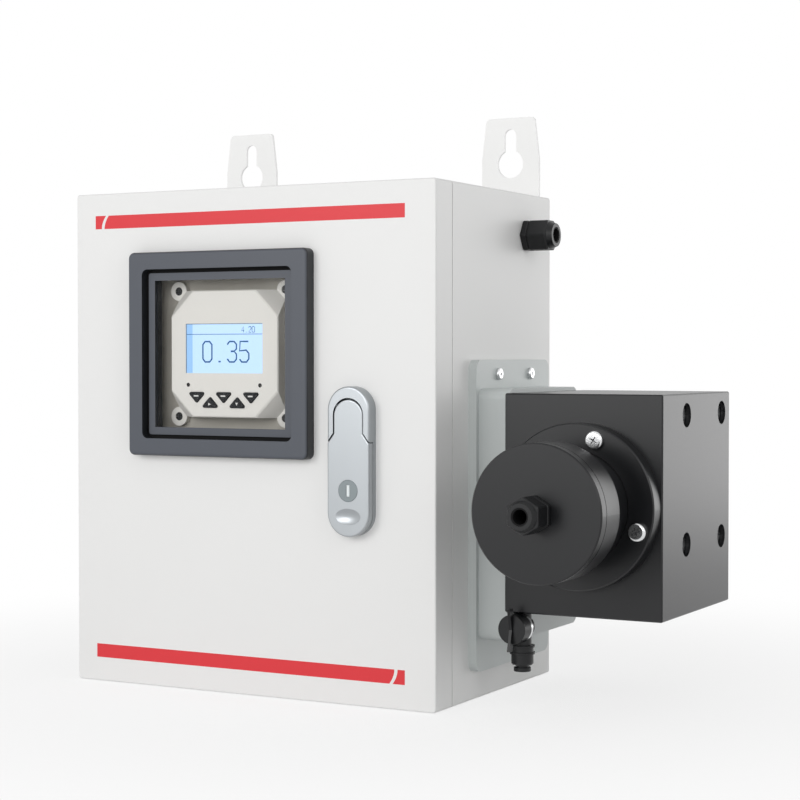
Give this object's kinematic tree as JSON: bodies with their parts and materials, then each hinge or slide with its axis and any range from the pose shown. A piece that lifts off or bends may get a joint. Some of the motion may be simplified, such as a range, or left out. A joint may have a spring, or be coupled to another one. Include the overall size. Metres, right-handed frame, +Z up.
{
  "type": "turbidity meter",
  "caption": "Wall-hung turbidity meter: a cabinet with a windowed, lockable door over a controller, and a side measuring cell with a sensor cap and a sample valve.",
  "frame": {"origin": "midway between the two round hanging holes, on the wall plane", "axes": "+Z up, +X towards the measuring cell, the door faces -Y and the wall is at +Y"},
  "size_m": [0.5021, 0.2723, 0.4691],
  "materials": {
    "white_powder_coat": "satin powder coat",
    "zinc_steel": "zinc plated",
    "grey_paint": "satin paint",
    "slate_plastic": "satin",
    "black_rubber": "matte",
    "clear_pane": "clear",
    "controller_plastic": "fine grain",
    "black_plastic": "satin",
    "terminal_plastic": "matte",
    "display_glass": "lit",
    "lamp_plastic": "gloss",
    "satin_chrome": "satin",
    "black_block": "satin",
    "bright_steel": "bright"
  },
  "bodies": {
    "cabinet": {"cabinet_body": "white_powder_coat", "hanging_tab_left": "zinc_steel", "hanging_tab_right": "zinc_steel", "hanging_tab_screws": "zinc_steel", "hinge_leaves_body": "white_powder_coat", "hinge_pins": "zinc_steel", "mounting_plate": "zinc_steel", "plate_studs": "zinc_steel", "din_rail": "zinc_steel", "power_supply": "black_plastic", "terminal_blocks": "terminal_plastic", "side_gland_body": "black_plastic", "side_gland_nut": "black_plastic", "side_gland_seal": "black_rubber", "side_gland_locknut": "black_plastic", "bracket_plate": "grey_paint", "bracket_spacer": "grey_paint", "bracket_screws": "bright_steel", "measuring_block": "black_block", "block_bolts": "bright_steel", "flange_ring": "black_block", "flange_screws": "bright_steel", "flange_seal": "black_rubber", "sensor_cap": "black_block", "sensor_probe": "bright_steel", "probe_windows": "clear_pane", "cap_gland_body": "black_plastic", "cap_gland_nut": "black_plastic", "cap_gland_seal": "black_rubber", "valve_body": "black_plastic", "valve_ring": "bright_steel"},
    "door": {"door_panel": "white_powder_coat", "door_seal": "black_rubber", "hinge_leaves_door": "white_powder_coat", "window_bezel": "slate_plastic", "window_seal": "black_rubber", "window_inner_frame": "slate_plastic", "window_pane": "clear_pane", "window_clamp_frame": "slate_plastic", "instrument_panel": "grey_paint", "panel_standoffs": "zinc_steel", "controller_front": "controller_plastic", "controller_rear": "black_plastic", "display": "display_glass", "indicator_lamps": "lamp_plastic", "controller_screws": "black_plastic", "lock_base": "satin_chrome", "lock_pivot_pin": "zinc_steel"},
    "exit_key": {"key_exit": "black_plastic"},
    "up_key": {"key_up": "black_plastic"},
    "menu_key": {"key_menu": "black_plastic"},
    "down_key": {"key_down": "black_plastic"},
    "enter_key": {"key_enter": "black_plastic"},
    "handle": {"lock_handle": "satin_chrome"},
    "cylinder": {"key_cylinder": "satin_chrome"},
    "cam": {"lock_spindle": "zinc_steel", "lock_cam": "zinc_steel"},
    "knob": {"valve_knob": "black_plastic"},
    "sleeve": {"release_sleeve": "black_plastic"}
  },
  "joints": [
    {"name": "door_hinge", "type": "hinge", "parent": "cabinet", "child": "door", "pos_m": [-0.1715, -0.1845, 0], "axis": [0, 0, -1], "range_deg": [0, 120]},
    {"name": "handle_lift", "type": "hinge", "parent": "door", "child": "handle", "pos_m": [0.0974, -0.2195, -0.20105], "axis": [-1, 0, 0], "range_deg": [0, 30]},
    {"name": "key_cylinder_turn", "type": "hinge", "parent": "handle", "child": "cylinder", "pos_m": [0.0974, -0.22, -0.26485], "axis": [0, -1, 0], "range_deg": [0, 90]},
    {"name": "cam_turn", "type": "hinge", "parent": "door", "child": "cam", "pos_m": [0.0974, -0.208, -0.21695], "axis": [0, -1, 0], "range_deg": [0, 90]},
    {"name": "exit_key_press", "type": "slide", "parent": "door", "child": "exit_key", "axis": [0, 1, 0], "range_m": [0, 0.001], "stiffness_N_per_m": 300},
    {"name": "up_key_press", "type": "slide", "parent": "door", "child": "up_key", "axis": [0, 1, 0], "range_m": [0, 0.001], "stiffness_N_per_m": 300},
    {"name": "menu_key_press", "type": "slide", "parent": "door", "child": "menu_key", "axis": [0, 1, 0], "range_m": [0, 0.001], "stiffness_N_per_m": 300},
    {"name": "down_key_press", "type": "slide", "parent": "door", "child": "down_key", "axis": [0, 1, 0], "range_m": [0, 0.001], "stiffness_N_per_m": 300},
    {"name": "enter_key_press", "type": "slide", "parent": "door", "child": "enter_key", "axis": [0, 1, 0], "range_m": [0, 0.001], "stiffness_N_per_m": 300},
    {"name": "valve_turn", "type": "hinge", "parent": "cabinet", "child": "knob", "pos_m": [0.2088, -0.162, -0.3696], "axis": [0, -1, 0], "range_deg": [0, 90]},
    {"name": "sleeve_press", "type": "slide", "parent": "cabinet", "child": "sleeve", "axis": [0, 0, 1], "range_m": [0, 0.0015], "stiffness_N_per_m": 400}
  ]
}
